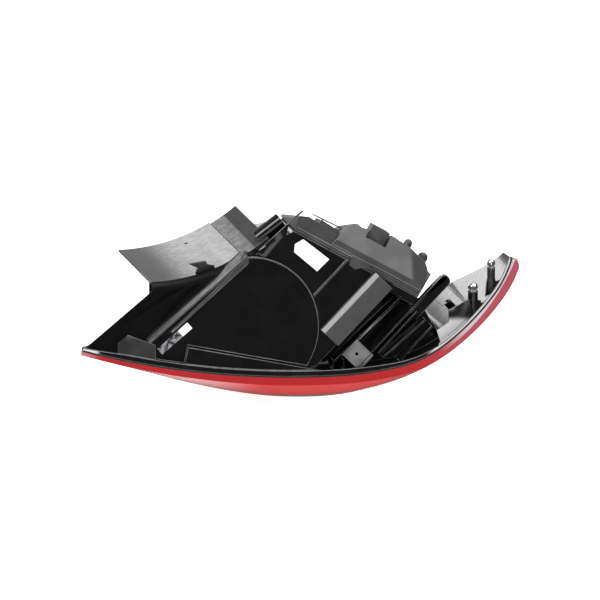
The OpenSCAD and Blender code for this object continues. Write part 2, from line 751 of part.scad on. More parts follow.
module bulb_carrier() {
    color([0.25, 0.25, 0.26]) placed() carrier_frame() difference() {
        union() {
            difference() {
                union() {
                    rim(0);
                    hump(0);
                }
                difference() {
                    union() {
                        rim(carrier_t);
                        translate([-hl + carrier_t, -hw + carrier_t, -1])
                            cube([carrier_l - 2 * carrier_t, carrier_w - 2 * carrier_t, 1.1]);
                        hump(carrier_t);
                    }
                    connector_block();
                    translate([-far_off, -far_off, deck_z]) cube([2 * far_off, 2 * far_off, carrier_t]);
                }
                connector_recess();
            }
            for (x = bulbs) translate([x, bulb_y, socket_low])
                cylinder(r = socket_r + socket_t, h = socket_top + carrier_t - socket_low);
            connector_shroud();
            translate([strap_from - 1, -hw + 5, strap_seat_z - 7])
                cube([strap_to - strap_from + 2, 7, 7]);
            for (k = knobs) translate([k[0], knob_y, 0]) {
                translate([0, 0, knob_foot]) cylinder(r = k[2], h = k[1] - knob_foot);
                translate([0, 0, k[1]]) sphere(r = k[2]);
            }
            lengthwise(-hw - tab_out - tab_t, -hw - tab_out)
                polygon([[-8, 5], [-6.5, -5.6], [0.2, -6.9], [6.6, -1.6], [13, 0.4], [13, 5]]);
            lengthwise(-hw - tab_out - tab_t, -hw + carrier_t) polygon([[-8, 2], [13, 2], [13, 5], [-8, 5]]);
        }
        for (x = bulbs) translate([x, bulb_y, socket_low - 1])
            cylinder(r = socket_r, h = socket_top - socket_low + 1);
        for (x = deck_holes) translate([x, -18, deck_z - 1]) cylinder(r = 3, h = carrier_t + 2);
    }
}

module connector_block() {
    translate([conn_x - 12 - carrier_t, -hw - 1, conn_floor - carrier_t])
        cube([24 + 2 * carrier_t, hw + 1 + conn_y + conn_w / 2 + 2 + carrier_t, 40]);
}

module connector_shroud() {
    translate([conn_x - conn_l / 2, conn_y - conn_w / 2, conn_floor - 0.5]) difference() {
        cube([conn_l, conn_w, 15]);
        translate([1.6, 1.6, 2]) cube([conn_l - 3.2, conn_w - 3.2, 20]);
    }
}

pin_n = 4;
pin_gap = 4;
module connector_pins() {
    color([0.8, 0.65, 0.3]) placed() carrier_frame()
        for (i = [0:pin_n - 1])
        translate([conn_x + (i - (pin_n - 1) / 2) * pin_gap - 0.5, conn_y - 1, conn_floor + 1.5])
        cube([1, 2, 9]);
}

module carrier_gasket() {
    color([0.12, 0.12, 0.12]) placed() carrier_frame() translate([0, 0, -gasket_t]) difference() {
        translate([-hl, -hw, 0]) cube([carrier_l, carrier_w, gasket_t]);
        translate([-hl + 4, -hw + 4, -1]) cube([carrier_l - 8, carrier_w - 8, gasket_t + 2]);
    }
}

strip_t = 0.6;
module contact_strips() {
    color([0.8, 0.7, 0.4]) placed() carrier_frame() for (y = [-7, -13]) difference() {
        translate([-hl + 17, y, deck_z - strip_t]) cube([carrier_l - 34, 4, strip_t]);
        for (x = deck_holes) translate([x, -18, 0]) cylinder(r = 3, h = 10);
    }
}

// The strap stands on a raised seat of the carrier, with one free end.
module carrier_strap() {
    foot = strap_seat_z + clear;
    color([0.1, 0.1, 0.1]) placed() carrier_frame() difference() {
        lengthwise(-hw + 6, -hw + 8) polygon([[strap_from, foot], [strap_to, foot],
            [strap_to + 1.6, foot + strap_rise], [strap_from - strap_end, foot + strap_rise - 1.2],
            [strap_from - strap_end, foot + strap_rise - 2.4], [strap_from, foot + strap_rise - 2.2]]);
        lengthwise(-hw + 5, -hw + 9) polygon([[strap_from + 1.2, foot + 1.1], [strap_to - 1.2, foot + 1.1],
            [strap_to, foot + strap_rise - 1.3], [strap_from + 1.2, foot + strap_rise - 2.2]]);
    }
}

// Bulbs hang in the sockets, glass towards the lens.
module at_bulb(i) {
    carrier_frame() translate([bulbs[i], bulb_y, 0]) children();
}

neck_r = 6.2;
neck_top = -9;
glass_drop = -30;
module bulb_glass(i) {
    at_bulb(i) difference() {
        union() {
            translate([0, 0, glass_drop]) sphere(r = glass_r);
            translate([0, 0, glass_drop]) cylinder(r = neck_r, h = neck_top - glass_drop);
        }
        translate([0, 0, glass_drop]) sphere(r = glass_r - glass_t);
        translate([0, 0, glass_drop]) cylinder(r = neck_r - glass_t, h = neck_top - glass_drop + 1);
    }
}

module bulb_base(i) {
    at_bulb(i) {
        difference() {
            translate([0, 0, -12]) cylinder(r = base_r, h = 12 + socket_top - clear);
            translate([0, 0, -13]) cylinder(r = neck_r + clear, h = 13 + neck_top + clear);
        }
        for (x = [-2, 2]) translate([x, 0, glass_drop])
            cylinder(r = 0.5, h = neck_top - glass_drop + 1, $fn = 16);
        translate([-2.4, 0, glass_drop]) rotate([0, 90, 0]) cylinder(r = 0.35, h = 4.8, $fn = 16);
    }
}

module bulb_glass_left() color([0.9, 0.9, 0.9]) placed() bulb_glass(0);
module bulb_glass_right() color([1, 0.65, 0.2]) placed() bulb_glass(1);
module bulb_base_left() color([0.8, 0.7, 0.4]) placed() bulb_base(0);
module bulb_base_right() color([0.8, 0.7, 0.4]) placed() bulb_base(1);

// Reflector: a trim plate along the lens with two deep bowls rising to the bulbs.
bowl_top = -13;
bowl_throat = glass_r + 1;
bowl_depths = [125, 84];
bowl_steps = 8;
collar_reach = 6;
bowl_reach = 200;
function bowl_radius(t) = sqrt(pow(bowl_throat, 2) + (pow(bowl_r, 2) - pow(bowl_throat, 2)) * t);
module bowl(i, d, reach) {
    at_bulb(i) rotate_extrude() polygon(concat(
        [[0, bowl_top + reach], [bowl_throat + d, bowl_top + reach]],
        [for (k = [0:bowl_steps])
            [bowl_radius(k / bowl_steps) + d, bowl_top - bowl_depths[i] * k / bowl_steps]],
        [[bowl_r + d, -bowl_reach], [0, -bowl_reach]]));
}
trim_low = -wall - clear - reflector_t;
module reflector() {
    color([0.8, 0.8, 0.82]) placed() difference() {
        union() {
            seam_layer([1, trim_low], [1, -wall - clear], wall + 0.8);
            intersection() {
                for (i = [0, 1]) bowl(i, reflector_t, 0.5);
                above_seam([1, trim_low], 0, lamp_w);
            }
        }
        for (i = [0, 1]) bowl(i, 0, collar_reach);
        screw_places() translate([0, 0, -10]) cylinder(r = screw_r + 0.2, h = 20);
    }
}

reflex_l = 130;
reflex_w = 32;
reflex_x = -70;
reflex_y = lamp_w - 67;
module reflex_reflector() {
    color([0.7, 0.05, 0.05]) placed() intersection() {
        seam_layer([1, trim_low - 5], [1, trim_low - clear], lens_wall + 1);
        translate([reflex_x, reflex_y, -20]) cube([reflex_l, reflex_w, 100]);
    }
}

module reflector_screws() {
    color([0.7, 0.7, 0.7]) placed() {
        for (p = screw_spots) on_seam(p[0], p[1], rise(p[0]) + trim_low - clear) {
            translate([0, 0, -2.2]) cylinder(r = screw_head_r, h = 2.2);
            cylinder(r = screw_r, h = 9);
        }
    }
}

module stud(s) {
    r = s[3];
    band_top = head_z + head_band;
    translate([s[0], s[1], s[2] + clear]) {
        translate([0, 0, -8]) cylinder(r = r * 0.4, h = 10);
        cylinder(r = r, h = groove_z);
        cylinder(r = r * 0.72, h = head_z + 0.5);
        translate([0, 0, head_z]) cylinder(r = r, h = head_band);
        translate([0, 0, band_top]) intersection() {
            translate([0, 0, stud_h - band_top - r * 1.05]) sphere(r = r * 1.05);
            cylinder(r = r, h = stud_h);
        }
    }
}

module stud_lower() color([0.85, 0.85, 0.87]) placed() stud(studs[0]);
module stud_upper() color([0.85, 0.85, 0.87]) placed() stud(studs[1]);

film_t = 0.3;
small_label_l = 40;
small_label_w = 8;
module label_large() {
    color([1, 1, 1]) placed() across(front_y - film_t - clear / 2, front_y - clear / 2)
        polygon([[5.6, 156.7], [-3, 152], [-3.6, 143.9], [19.9, 123.4], [32.2, 135.1]]);
}

module label_small() {
    color([0.9, 0.9, 0.9]) placed() strip_bar(17.5, 17.5 + small_label_w, 2, 2 + small_label_l,
        disc_y - film_t - clear / 2, disc_y - clear / 2);
}

outer_lens();
lens_window();
lens_seal();
housing();
side_cover();
cover_clip();
bulb_carrier();
carrier_gasket();
connector_pins();
contact_strips();
carrier_strap();
reflector();
reflex_reflector();
reflector_screws();
bulb_glass_left();
bulb_glass_right();
bulb_base_left();
bulb_base_right();
stud_lower();
stud_upper();
vent_cap();
label_large();
label_small();
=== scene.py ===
# %% [markdown]
# # A rear lamp cluster, seen from behind its lens
# The lamp is a shallow red lens welded to a deep black moulding, with a side cover, a matte bulb carrier
# and two bright locating studs. The construction comes packed from the drawing, so this lesson only
# dresses it: it gives every surface its finish, rounds the moulded edges, and sets up a plain studio.

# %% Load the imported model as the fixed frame
import math

import bmesh
import bpy
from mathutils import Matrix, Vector


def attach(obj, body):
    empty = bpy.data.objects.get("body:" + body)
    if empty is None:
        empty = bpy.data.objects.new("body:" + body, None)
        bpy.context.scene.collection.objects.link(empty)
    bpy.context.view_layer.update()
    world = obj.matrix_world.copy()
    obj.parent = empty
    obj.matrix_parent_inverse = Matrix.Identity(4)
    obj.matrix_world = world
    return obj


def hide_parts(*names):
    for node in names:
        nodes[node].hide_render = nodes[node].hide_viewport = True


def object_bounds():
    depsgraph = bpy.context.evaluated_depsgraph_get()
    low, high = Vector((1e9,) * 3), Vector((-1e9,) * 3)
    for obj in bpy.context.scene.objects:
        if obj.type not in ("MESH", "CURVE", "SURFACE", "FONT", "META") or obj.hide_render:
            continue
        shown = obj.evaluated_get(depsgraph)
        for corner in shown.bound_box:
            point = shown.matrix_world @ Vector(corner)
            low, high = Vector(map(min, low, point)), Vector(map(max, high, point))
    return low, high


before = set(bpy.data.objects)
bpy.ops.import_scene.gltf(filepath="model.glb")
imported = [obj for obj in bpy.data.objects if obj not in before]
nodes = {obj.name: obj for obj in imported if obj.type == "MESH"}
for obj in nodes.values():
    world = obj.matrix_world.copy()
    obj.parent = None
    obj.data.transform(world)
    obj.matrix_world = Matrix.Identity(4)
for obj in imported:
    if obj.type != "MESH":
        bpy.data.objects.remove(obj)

MM = 0.001
cad_low, cad_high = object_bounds()
print("packed model:", [round(v, 4) for v in cad_high - cad_low])

# %% [markdown]
# ## Finishes
# Every finish is a Principled shader with noise read in Object coordinates, so it keeps its real scale on
# every piece. Pictures of plastic could be wrapped round the pieces instead, but each piece would need a
# layout of its own. A small toolkit keeps the node trees readable: one function starts a material, one
# adds a noise, one turns a value into a range, one into a bump, and one blends two colours.

# %% Start a material, and tell what a cell has made
def start_material(name, colour, roughness):
    """A new material, with its node tree and its Principled shader."""
    material = bpy.data.materials.new(name)
    material.use_nodes = True
    shader = material.node_tree.nodes["Principled BSDF"]
    shader.inputs["Base Color"].default_value = (*colour, 1)
    shader.inputs["Roughness"].default_value = roughness
    return material, material.node_tree, shader


def tell(kind, *made):
    """Prints the names of what a cell has made."""
    print(kind + ":", ", ".join(thing.name for thing in made))


# %% Add a noise, and turn a value into a range
def add_place(tree):
    """The place of each point in the frame of its piece, in metres."""
    return tree.nodes.new("ShaderNodeTexCoord").outputs["Object"]


def add_noise(tree, scale, detail=2.0):
    """Noise in Object coordinates, with scale in features per metre."""
    noise = tree.nodes.new("ShaderNodeTexNoise")
    noise.inputs["Scale"].default_value = scale
    noise.inputs["Detail"].default_value = detail
    tree.links.new(add_place(tree), noise.inputs["Vector"])
    return noise.outputs["Fac"]


def add_range(tree, value, low, high, start=0.3, end=0.7):
    """Goes from low to high as the value goes from start to end: most of a noise lies from 0.3 to 0.7."""
    spread = tree.nodes.new("ShaderNodeMapRange")
    spread.interpolation_type = "SMOOTHSTEP"
    spread.inputs["From Min"].default_value = start
    spread.inputs["From Max"].default_value = end
    spread.inputs["To Min"].default_value = low
    spread.inputs["To Max"].default_value = high
    tree.links.new(value, spread.inputs["Value"])
    return spread.outputs["Result"]


# %% Turn a value into a bump, and blend two colours by it
def add_bump(tree, shader, value, depth):
    """A bump of a depth in millimetres on the shader's normal."""
    bump = tree.nodes.new("ShaderNodeBump")
    bump.inputs["Distance"].default_value = depth * MM
    tree.links.new(value, bump.inputs["Height"])
    tree.links.new(bump.outputs["Normal"], shader.inputs["Normal"])
    return bump


def add_blend(tree, value, first, second):
    """A mix of two colours, each of them three numbers or the output of another node."""
    blend = tree.nodes.new("ShaderNodeMix")
    blend.data_type = "RGBA"
    for socket, colour in (("A", first), ("B", second)):
        if isinstance(colour, tuple):
            blend.inputs[socket].default_value = (*colour, 1)
        else:
            tree.links.new(colour, blend.inputs[socket])
    tree.links.new(value, blend.inputs["Factor"])
    return blend.outputs["Result"]


# %% [markdown]
# ### Moulded plastics
# The housing is polished black plastic with faint flow marks: low roughness that wanders a little, and
# a very shallow wave. The side cover is satin, and the bulb carrier is a matte grained moulding. Each
# could have a node tree of its own, but they differ only in colour, sheen, grain and wave, so one
# function makes all of them. The rounded edges have paler satin finishes of their own, which are painted
# highlights along those edges.

# %% One function for every moulding
PATCHES = 45
WEAR = 140
WAVES = 38


def moulded(name, dark, light, rough, grain=2500, grain_depth=0.002, wave_depth=0.0):
    """Plastic whose grey and roughness wander between two values, over a fine grain and a slow wave.

    The grain is in features per metre, like PATCHES, WEAR and WAVES, and the depths are in millimetres.
    """
    material, tree, shader = start_material(name, (dark,) * 3, rough[0])
    patches = add_range(tree, add_noise(tree, PATCHES, detail=3), 0, 1)
    tree.links.new(add_blend(tree, patches, (dark,) * 3, (light,) * 3), shader.inputs["Base Color"])
    wear = add_range(tree, add_noise(tree, WEAR, detail=4), *rough)
    tree.links.new(wear, shader.inputs["Roughness"])
    bump = add_bump(tree, shader, add_noise(tree, grain), grain_depth)
    if wave_depth:
        wave = tree.nodes.new("ShaderNodeBump")
        wave.inputs["Distance"].default_value = wave_depth * MM
        tree.links.new(add_noise(tree, WAVES, detail=1), wave.inputs["Height"])
        tree.links.new(wave.outputs["Normal"], bump.inputs["Normal"])
    return material


# %% The housing's blacks and greys
black_gloss = moulded("polished black", dark=0.002, light=0.004, rough=(0.08, 0.16), wave_depth=0.25)
# The bars' grey is a painted reflection on the black moulding.
bar_painted_reflection = moulded("satin bar", dark=0.030, light=0.045, rough=(0.32, 0.42), grain_depth=0.004)
pad_grey = moulded("greyer pad", dark=0.04, light=0.12, rough=(0.42, 0.6), grain=900, grain_depth=0.01)
shelf_satin = moulded("duller shelf", dark=0.010, light=0.020, rough=(0.26, 0.38), wave_depth=0.06)
shelf_dull = moulded("dull shelf edge", dark=0.008, light=0.016, rough=(0.6, 0.7), wave_depth=0.06)
# The paler edge finish is a painted highlight along the rounded edges.
black_edge_highlight = moulded("rubbed black edge", dark=0.08, light=0.12, rough=(0.24, 0.34))
tell("housing plastics", black_gloss, bar_painted_reflection, pad_grey, shelf_satin, shelf_dull, black_edge_highlight)

# %% The side cover's satin wing and deep cheek
DEEP_SHEEN = 0.12
wing_satin = moulded("satin wing", dark=0.016, light=0.026, rough=(0.17, 0.24), wave_depth=0.08)
black_deep = moulded("deep black", dark=0.0015, light=0.003, rough=(0.4, 0.5))
black_deep.node_tree.nodes["Principled BSDF"].inputs["Specular IOR Level"].default_value = DEEP_SHEEN
tell("cover plastics", wing_satin, black_deep)

# %% The bulb carrier, the trim and the foam
carrier_matte = moulded(
    "matte carrier", dark=0.080, light=0.110, rough=(0.5, 0.62), grain=2200, grain_depth=0.015)
# The darker finish for the carrier's front faces is painted shade on the same matte plastic.
carrier_front_painted_shade = moulded(
    "darker matte rim", dark=0.026, light=0.040, rough=(0.42, 0.55), grain=2200, grain_depth=0.012)
# The paler grey edge finish is a painted highlight along the rounded edges.
grey_edge_highlight = moulded("rubbed grey edge", dark=0.12, light=0.16, rough=(0.4, 0.5))
trim_black = moulded("satin trim", dark=0.012, light=0.020, rough=(0.3, 0.45), grain_depth=0.006)
foam_black = moulded("gasket foam", dark=0.02, light=0.035, rough=(0.85, 0.95), grain=1600, grain_depth=0.12)
tell("carrier and trim plastics", carrier_matte, carrier_front_painted_shade, grey_edge_highlight, trim_black, foam_black)

# %% [markdown]
# ### Painted light that changes along a piece
# The rim round the lens is black, but on the arm it carries a pale grey painted reflection and at the left
# tip a pale grey painted highlight, and the lower part of the arm's web carries a painted reflection too.
# The carrier's far end is darker than its lid, which is painted shade. Cutting the mesh there would leave a
# hard joint, so the colour is blended along the piece, over a few millimetres.

# %% Blend a finish to another colour along one way
ALONG = (1, 0, 0)
DOWN = (0, 0, -1)


def add_dot(tree, place, direction):
    """How far each place lies along a direction."""
    dot = tree.nodes.new("ShaderNodeVectorMath")
    dot.operation = "DOT_PRODUCT"
    dot.inputs[1].default_value = direction
    tree.links.new(place, dot.inputs[0])
    return dot.outputs["Value"]


def add_along(tree, start, end):
    """A share that goes from 0 to 1 between two places along the lamp, in millimetres."""
    return add_range(tree, add_dot(tree, add_place(tree), ALONG), 0, 1, start * MM, end * MM)


def retint(material, share, colour):
    """Blends a moulded finish to another colour by a share, and leaves the rest as it is."""
    tree = material.node_tree
    base = tree.nodes["Principled BSDF"].inputs["Base Color"]
    tint = base.links[0].from_socket
    tree.links.new(add_blend(tree, share, tint, colour), base)


# %% The rim round the lens, with a painted reflection on the arm and a painted highlight at the left tip
ARM_PAINTED_REFLECTION = (0.42, 0.42, 0.43)
TIP_PAINTED_HIGHLIGHT = (0.5, 0.5, 0.5)
ARM_REFLECTION_BLEND = (-50, -40)
TIP_HIGHLIGHT_BLEND = (-382, -388)

rim_gloss_painted_light = moulded("polished rim", dark=0.002, light=0.004, rough=(0.10, 0.2), wave_depth=0.1)
# Pale grey on the arm is a painted reflection, and pale grey at the left tip is a painted highlight.
retint(rim_gloss_painted_light, add_along(rim_gloss_painted_light.node_tree, *ARM_REFLECTION_BLEND), ARM_PAINTED_REFLECTION)
retint(rim_gloss_painted_light, add_along(rim_gloss_painted_light.node_tree, *TIP_HIGHLIGHT_BLEND), TIP_PAINTED_HIGHLIGHT)
tell("light_painted along x", rim_gloss_painted_light)

# %% The web of the arm, with a painted reflection some way below the lower stud
WEB_PAINTED_REFLECTION = (0.40, 0.40, 0.41)
WEB_REFLECTION_BLEND = (29, 35)

web_gloss_painted_reflection = moulded("arm web", dark=0.004, light=0.008, rough=(0.2, 0.3), wave_depth=0.1)
# Pale grey low on the web is a painted reflection.
down_web = add_dot(web_gloss_painted_reflection.node_tree, add_place(web_gloss_painted_reflection.node_tree), DOWN)
web_reflection_share = add_range(web_gloss_painted_reflection.node_tree, down_web, 0, 1, *(depth * MM for depth in WEB_REFLECTION_BLEND))
retint(web_gloss_painted_reflection, web_reflection_share, WEB_PAINTED_REFLECTION)
tell("light_painted below", web_gloss_painted_reflection)

# %% The carrier's end, darker with painted shade
CARRIER_END_PAINTED_SHADE = (0.03, 0.03, 0.03)
END_SHADE_BLEND = (-64, -58)

# The far end is darkened as painted shade.
retint(carrier_matte, add_along(carrier_matte.node_tree, *END_SHADE_BLEND), CARRIER_END_PAINTED_SHADE)
print("the carrier darkens between", *END_SHADE_BLEND, "mm")

# %% [markdown]
# ### Acrylic and glass
# Acrylic lets light through, so the lens, its window and the reflex reflector are transmissive Principled
# shaders with a slight wave. Glass bends light nearly as much, so the bulbs share the function. The red
# lens could pass all of its light, but from outside such a lens looks nearly solid, so its share is low.

# %% One function for what light passes through
ACRYLIC_IOR = 1.49
SOFT_WAVES = 60
SOFT_WAVE_DEPTH = 0.05


def acrylic(name, colour, roughness, transmission):
    """A clear or tinted finish, with its node tree and its shader."""
    material, tree, shader = start_material(name, colour, roughness)
    shader.inputs["Transmission Weight"].default_value = transmission
    shader.inputs["IOR"].default_value = ACRYLIC_IOR
    add_bump(tree, shader, add_noise(tree, SOFT_WAVES, detail=1), SOFT_WAVE_DEPTH)
    return material, tree, shader


lens_clear = acrylic("clear acrylic", (0.95, 0.92, 0.90), roughness=0.05, transmission=0.9)[0]
reflex_red = acrylic("reflex red", (0.60, 0.01, 0.02), roughness=0.1, transmission=0.4)[0]
glass_clear = acrylic("bulb glass", (0.98, 0.98, 0.98), roughness=0.01, transmission=1.0)[0]
glass_amber = acrylic("amber bulb glass", (0.98, 0.50, 0.08), roughness=0.02, transmission=0.9)[0]
tell("clear materials", lens_clear, reflex_red, glass_clear, glass_amber)

# %% [markdown]
# ### The red crown
# The crown is paler where it turns down from the skirt, which is a painted reflection of the white table,
# and it pales towards the left tip. The line could be drawn on the mesh, but it follows the curve of the
# shell, so the colour follows the way the surface faces instead.

# %% The crown, with a painted reflection where it turns down
CROWN_RED = (0.50, 0.05, 0.05)
CROWN_PAINTED_REFLECTION = (0.62, 0.17, 0.17)
CROWN_TIP = (0.66, 0.38, 0.38)
REFLECTION_FACING = (0.72, 0.5)
CROWN_BLEND = (-210, -300)


def add_down(tree):
    """How far the surface faces down, from 0 on the skirt to 1 under the crown."""
    normal = tree.nodes.new("ShaderNodeTexCoord").outputs["Normal"]
    return add_dot(tree, normal, DOWN)


lens_crown, crown_tree, crown_shader = acrylic("red acrylic", CROWN_RED, roughness=0.08, transmission=0.2)
# Paler red where the crown faces down is a painted reflection of the white table.
crown_reflection = add_range(crown_tree, add_down(crown_tree), 0, 1, *REFLECTION_FACING)
crown = add_blend(crown_tree, crown_reflection, CROWN_RED, CROWN_PAINTED_REFLECTION)
crown = add_blend(crown_tree, add_along(crown_tree, *CROWN_BLEND), crown, CROWN_TIP)
crown_tree.links.new(crown, crown_shader.inputs["Base Color"])
tell("crown", lens_crown)

# %% [markdown]
# ### The two-coloured skirt
# Along the arm the skirt of the lens is moulded in two colours, clear inside and red outside, and the
# line between them is part of a circle. Two pieces would leave a gap between them, so one finish changes
# at a distance from the circle's centre, and only along the arm.

# %% Where the skirt is clear
CLEAR_CENTRE = (-148, 0, 106)
CLEAR_RADIUS = 205
CLEAR_BLEND = 0.7
CLEAR_ALONG = (-38, 0)
X_AND_Z = (1, 0, 1)


def add_inside(tree):
    """1 on the inner half of the skirt along the arm, which is clear, and 0 on its red outer half.

    The place is flattened to x and z first, so that the distance is the one seen from the front.
    """
    reach = tree.nodes.new("ShaderNodeVectorMath")
    reach.operation = "DISTANCE"
    flat = tree.nodes.new("ShaderNodeVectorMath")
    flat.operation = "MULTIPLY"
    flat.inputs[1].default_value = X_AND_Z
    tree.links.new(add_place(tree), flat.inputs[0])
    tree.links.new(flat.outputs["Vector"], reach.inputs[0])
    reach.inputs[1].default_value = [v * MM for v in CLEAR_CENTRE]
    inner, outer = (CLEAR_RADIUS - CLEAR_BLEND) * MM, (CLEAR_RADIUS + CLEAR_BLEND) * MM
    near = add_range(tree, reach.outputs["Value"], 1, 0, inner, outer)
    both = tree.nodes.new("ShaderNodeMath")
    both.operation = "MULTIPLY"
    tree.links.new(near, both.inputs[0])
    tree.links.new(add_along(tree, *CLEAR_ALONG), both.inputs[1])
    return both.outputs["Value"]


# %% The skirt, red, with a painted reflection on the arm, paler at the tip, and clear inside
SKIRT_CLEAR = (0.46, 0.40, 0.42)
SKIRT_RED = (0.33, 0.016, 0.018)
SKIRT_ARM_PAINTED_REFLECTION = (0.30, 0.06, 0.08)
SKIRT_TIP = (0.42, 0.14, 0.16)
SKIRT_ARM_REFLECTION_BLEND = (-75, 10)
SKIRT_TIP_BLEND = (-380, -402)

lens_skirt, skirt_tree, skirt_shader = acrylic(
    "deep red skirt", SKIRT_RED, roughness=0.08, transmission=0.1)
# Paler on the arm is a painted reflection.
skirt = add_blend(skirt_tree, add_along(skirt_tree, *SKIRT_ARM_REFLECTION_BLEND), SKIRT_RED, SKIRT_ARM_PAINTED_REFLECTION)
skirt = add_blend(skirt_tree, add_along(skirt_tree, *SKIRT_TIP_BLEND), skirt, SKIRT_TIP)
skirt = add_blend(skirt_tree, add_inside(skirt_tree), skirt, SKIRT_CLEAR)
skirt_tree.links.new(skirt, skirt_shader.inputs["Base Color"])
tell("skirt", lens_skirt)

# %% [markdown]
# ### Metals
# The reflector is metallised plastic, the studs are bright plated steel, the screws are zinc and the
# contacts are brass. A flat metallic colour would look like a drawing, so the roughness wanders with
# wear, over a grain that is only a few thousandths of a millimetre deep.

# %% Make the metals
METAL_WEAR = 400
METAL_GRAIN = 900
METAL_GRAIN_DEPTH = 0.004


def plated(name, colour, rough):
    """A metal whose roughness wanders between two values."""
    material, tree, shader = start_material(name, colour, rough[0])
    shader.inputs["Metallic"].default_value = 1.0
    wear = add_range(tree, add_noise(tree, METAL_WEAR, detail=4), *rough)
    tree.links.new(wear, shader.inputs["Roughness"])
    add_bump(tree, shader, add_noise(tree, METAL_GRAIN), METAL_GRAIN_DEPTH)
    return material


mirror_metal = plated("metallised", (0.88, 0.88, 0.90), rough=(0.06, 0.14))
stud_chrome = plated("bright plating", (0.80, 0.80, 0.82), rough=(0.10, 0.22))
steel_zinc = plated("zinc", (0.62, 0.62, 0.63), rough=(0.3, 0.45))
brass_dull = plated("dull brass", (0.72, 0.58, 0.32), rough=(0.3, 0.45))
tell("metals", mirror_metal, stud_chrome, steel_zinc, brass_dull)

# %% [markdown]
# ### Labels
# Both labels are bare here. The large one is white film. The small one is silvered film with dark
# blotches, and its upper end is plain white. It is one sheet in the drawing, so its colour changes at a
# place along the chamber's upper left edge, where a second piece would only add a joint. That edge rises
# by forty degrees, and so does the strip on it.

# %% Make the label films
EDGE_ANGLE = math.radians(40)
EDGE_WAY = (math.cos(EDGE_ANGLE), 0, math.sin(EDGE_ANGLE))
END_WHITE = (0.9, 0.9, 0.9)
END_FROM = -252 * MM
END_BLUR = 1 * MM
BLOTCH_EDGES = (0.4, 0.6)
FILM_GRAIN = 1500
FILM_GRAIN_DEPTH = 0.006


def film(name, first, second, roughness, scale, white_end=False):
    """A label's film in two tones, with noise in features per metre, and a white end if asked."""
    material, tree, shader = start_material(name, first, roughness)
    blotches = add_range(tree, add_noise(tree, scale, detail=3), 0, 1, *BLOTCH_EDGES)
    tint = add_blend(tree, blotches, first, second)
    if white_end:
        along = add_dot(tree, add_place(tree), EDGE_WAY)
        share = add_range(tree, along, 0, 1, END_FROM, END_FROM + END_BLUR)
        tint = add_blend(tree, share, tint, END_WHITE)
    tree.links.new(tint, shader.inputs["Base Color"])
    add_bump(tree, shader, add_noise(tree, FILM_GRAIN), FILM_GRAIN_DEPTH)
    return material


film_white = film("white film", (0.92, 0.92, 0.92), (0.88, 0.88, 0.89), roughness=0.45, scale=120)
film_silver = film(
    "silver film", (0.22, 0.23, 0.24), (0.012, 0.012, 0.015), roughness=0.3, scale=260, white_end=True)
tell("films", film_white, film_silver)

# %% [markdown]
# ## Rounded edges
# A moulded edge is never sharp: polished steel tools leave a radius of half a millimetre or so, and that
# radius is what draws the bright lines along the ribs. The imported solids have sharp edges, so each
# visible one is copied and its loose triangles are joined into flat faces. Rounding every edge would
# tangle the smallest ones, so only long runs are rounded: edges that carry on into each other nearly
# straight are added up, and a run's length decides its bevel weight. Building the ribs again by hand
# would only repeat the drawing.

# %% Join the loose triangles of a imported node
MERGE_REACH = 0.002 * MM
FLAT = math.radians(0.1)


def joined(node):
    """A copy of a node's mesh with its corners merged and as few triangles as its flat faces need."""
    shape = bmesh.new()
    shape.from_mesh(nodes[node].data)
    bmesh.ops.remove_doubles(shape, verts=shape.verts, dist=MERGE_REACH)
    bmesh.ops.dissolve_limit(
        shape, angle_limit=FLAT, verts=shape.verts, edges=shape.edges, use_dissolve_boundaries=False)
    bmesh.ops.triangulate(shape, faces=shape.faces)
    shape.normal_update()
    return shape


sample = joined("bulb_carrier")
print("carrier:", len(nodes["bulb_carrier"].data.polygons), "triangles, joined:", len(sample.faces))

# %% Find the long runs of sharp edges
SHARP = math.radians(20)
STRAIGHT = math.radians(152)


def run_lengths(shape):
    """The length of the nearly straight run that each sharp edge belongs to, by edge index."""
    shape.edges.index_update()
    sharp = [line for line in shape.edges if line.calc_face_angle(0.0) >= SHARP]
    leader = {line.index: line.index for line in sharp}

    def lead(index):
        while leader[index] != index:
            index = leader[index]
        return index

    for corner in shape.verts:
        ends = [line for line in corner.link_edges if line.index in leader]
        for i, first in enumerate(ends):
            for second in ends[i + 1:]:
                ahead = first.other_vert(corner).co - corner.co
                behind = second.other_vert(corner).co - corner.co
                if ahead.angle(behind, 0.0) > STRAIGHT:
                    leader[lead(first.index)] = lead(second.index)
    total = {}
    for line in sharp:
        total[lead(line.index)] = total.get(lead(line.index), 0.0) + line.calc_length()
    return {line.index: total[lead(line.index)] for line in sharp}


print("carrier: longest run", round(max(run_lengths(sample).values()) / MM), "mm")
sample.free()

# %% Weigh the edges by their runs, and round them
RUN_WEIGHTS = ((100 * MM, 1.0), (25 * MM, 0.7), (15 * MM, 0.4))


def weigh_edges(shape, rounded):
    """Marks the sharp edges, weighs those in long runs if they are to be rounded, and counts them."""
    weight = shape.edges.layers.float.new("bevel_weight_edge")
    lengths = run_lengths(shape) if rounded else {}
    for line in shape.edges:
        line.smooth = line.calc_face_angle(0.0) < SHARP
        length = lengths.get(line.index, 0.0)
        line[weight] = next((share for run, share in RUN_WEIGHTS if length > run), 0.0)
    return sum(line[weight] > 0 for line in shape.edges)


def round_edges(piece, radius, segments, material_number):
    """Rounds the weighted edges by a radius in millimetres."""
    bevel = piece.modifiers.new("rounded edges", "BEVEL")
    bevel.width = radius * MM
    bevel.segments = segments
    bevel.limit_method = "WEIGHT"
    bevel.harden_normals = True
    bevel.use_clamp_overlap = False
    bevel.material = material_number


for run, share in RUN_WEIGHTS:
    print("runs over", round(run / MM), "mm have weight", share)

